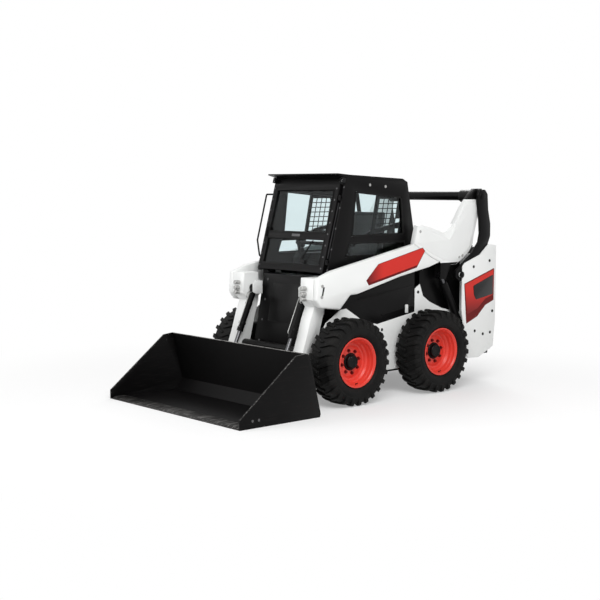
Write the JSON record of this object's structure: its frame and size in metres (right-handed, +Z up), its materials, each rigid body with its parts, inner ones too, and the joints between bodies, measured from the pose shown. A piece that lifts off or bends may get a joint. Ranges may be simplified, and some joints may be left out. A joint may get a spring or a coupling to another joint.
{
  "type": "skid steer loader",
  "caption": "Wheeled skid steer loader with closed cab, vertical-lift arms, hydraulic cylinders and a smooth-edge bucket that lifts and dumps.",
  "frame": {"origin": "on the ground, under the middle of the machine's length and width", "axes": "-Y is the front (bucket end), +X the machine's left side, +Z up"},
  "size_m": [1.91, 3.502, 2.041],
  "materials": {
    "white_paint": "gloss",
    "black_paint": "satin",
    "rim_paint": "gloss",
    "tyre": "matt",
    "bucket_paint": "satin",
    "edge_steel": "worn",
    "rod_chrome": "polished",
    "glass": "clear",
    "seat": "matt",
    "trim_plastic": "matt",
    "lamp": "gloss",
    "red_lamp": "gloss",
    "engine_iron": "cast"
  },
  "bodies": {
    "cab": {"cab_frame": "black_paint", "roof": "black_paint", "side_windows": "glass", "rear_window": "glass", "seat_base": "trim_plastic", "seat_cushion": "seat", "seat_back": "seat", "controls": "trim_plastic", "work_lamps": "lamp", "grab_handle": "black_paint", "window_guards": "black_paint"},
    "door": {"door_frame": "black_paint", "door_glass": "glass"},
    "seat_bar": {"seat_bar": "black_paint"},
    "hood": {"hood_lid": "black_paint"},
    "tailgate": {"tailgate": "white_paint", "gate_lamps": "red_lamp"},
    "rear_link": {"rear_links": "black_paint", "rear_tube": "black_paint"},
    "arms": {"arm_beams": "white_paint", "arm_rear_plates": "white_paint", "arm_legs": "white_paint", "arm_crossmember": "white_paint", "tilt_brackets": "white_paint"},
    "lift_barrels": {"lift_barrels": "black_paint"},
    "lift_rods": {"lift_rods": "rod_chrome"},
    "bucket": {"carrier_frames": "black_paint", "carrier_tube": "black_paint", "bucket_shell": "bucket_paint", "cutting_edge": "edge_steel"},
    "tilt_barrels": {"tilt_barrels": "black_paint"},
    "tilt_rods": {"tilt_rods": "rod_chrome"},
    "wheel_front_left": {"rim_front_left": "rim_paint", "tyre_front_left": "tyre"},
    "wheel_front_right": {"rim_front_right": "rim_paint", "tyre_front_right": "tyre"},
    "wheel_rear_left": {"rim_rear_left": "rim_paint", "tyre_rear_left": "tyre"},
    "wheel_rear_right": {"rim_rear_right": "rim_paint", "tyre_rear_right": "tyre"},
    "chassis": {"axle_tubes": "black_paint", "belly_pan": "black_paint", "bumper": "black_paint", "cab_pivots": "black_paint", "cab_stands": "black_paint", "chaincases": "black_paint", "engine_bay_sides": "black_paint", "engine_block": "engine_iron", "engine_mounts": "black_paint", "frame_sides": "white_paint", "front_plate": "black_paint", "gate_hinges": "black_paint", "hood_hinges": "black_paint", "rear_boxes": "white_paint", "rear_panels": "white_paint", "side_skirts": "black_paint", "tail_lamps": "red_lamp"}
  },
  "joints": [
    {"name": "wheel_front_left", "type": "hinge", "parent": "chassis", "child": "wheel_front_left", "pos_m": [0.7, -0.32, 0.386], "axis": [1, 0, 0], "continuous": true},
    {"name": "wheel_front_right", "type": "hinge", "parent": "chassis", "child": "wheel_front_right", "pos_m": [-0.7, -0.32, 0.386], "axis": [1, 0, 0], "continuous": true},
    {"name": "wheel_rear_left", "type": "hinge", "parent": "chassis", "child": "wheel_rear_left", "pos_m": [0.7, 0.76, 0.386], "axis": [1, 0, 0], "continuous": true},
    {"name": "wheel_rear_right", "type": "hinge", "parent": "chassis", "child": "wheel_rear_right", "pos_m": [-0.7, 0.76, 0.386], "axis": [1, 0, 0], "continuous": true},
    {"name": "cab_tilt", "type": "hinge", "parent": "chassis", "child": "cab", "pos_m": [0, 0.755, 1.36], "axis": [-1, 0, 0], "range_deg": [0, 30]},
    {"name": "door", "type": "hinge", "parent": "cab", "child": "door", "pos_m": [0.468, -0.4133, 1.145], "axis": [0, -0.2636, -0.9646], "range_deg": [-90, 0]},
    {"name": "seat_bar", "type": "hinge", "parent": "cab", "child": "seat_bar", "pos_m": [0, 0.61, 1.565], "axis": [-1, 0, 0], "range_deg": [0, 48]},
    {"name": "hood", "type": "hinge", "parent": "chassis", "child": "hood", "pos_m": [0, 0.792, 1.338], "axis": [1, 0, 0], "range_deg": [0, 50]},
    {"name": "tailgate", "type": "hinge", "parent": "chassis", "child": "tailgate", "pos_m": [-0.539, 1.735, 0.9], "axis": [0, 0, 1], "range_deg": [0, 90]},
    {"name": "rear_link", "type": "hinge", "parent": "chassis", "child": "rear_link", "pos_m": [0, 1.18, 1.08], "axis": [-1, 0, 0], "range_deg": [0, 22.1]},
    {"name": "lift", "type": "hinge", "parent": "rear_link", "child": "arms", "pos_m": [0, 1.49, 1.832], "axis": [-1, 0, 0], "range_deg": [0, 43]},
    {"name": "lift_barrels", "type": "hinge", "parent": "chassis", "child": "lift_barrels", "pos_m": [0, 1.43, 0.3], "axis": [-1, 0, 0], "range_deg": [0, 6.4]},
    {"name": "lift_rods", "type": "slide", "parent": "lift_barrels", "child": "lift_rods", "axis": [0, -0.5021, 0.8648], "range_m": [0, 0.7225]},
    {"name": "tilt", "type": "hinge", "parent": "arms", "child": "bucket", "pos_m": [0, -0.81, 0.165], "axis": [1, 0, 0], "range_deg": [-27, 106]},
    {"name": "tilt_barrels", "type": "hinge", "parent": "arms", "child": "tilt_barrels", "pos_m": [0, -0.537, 0.985], "axis": [1, 0, 0], "range_deg": [-5.9, 1.6]},
    {"name": "tilt_rods", "type": "slide", "parent": "tilt_barrels", "child": "tilt_rods", "axis": [0, -0.4043, -0.9146], "range_m": [-0.06, 0.232]}
  ],
  "couplings": [
    {"joint": "rear_link", "follows": "lift", "ratio": 0.51163},
    {"joint": "lift_barrels", "follows": "lift", "ratio": 0.14605},
    {"joint": "lift_rods", "follows": "lift", "m_per_rad": 0.96097},
    {"joint": "tilt_barrels", "follows": "tilt", "ratio": -0.0544},
    {"joint": "tilt_rods", "follows": "tilt", "m_per_rad": 0.125}
  ]
}
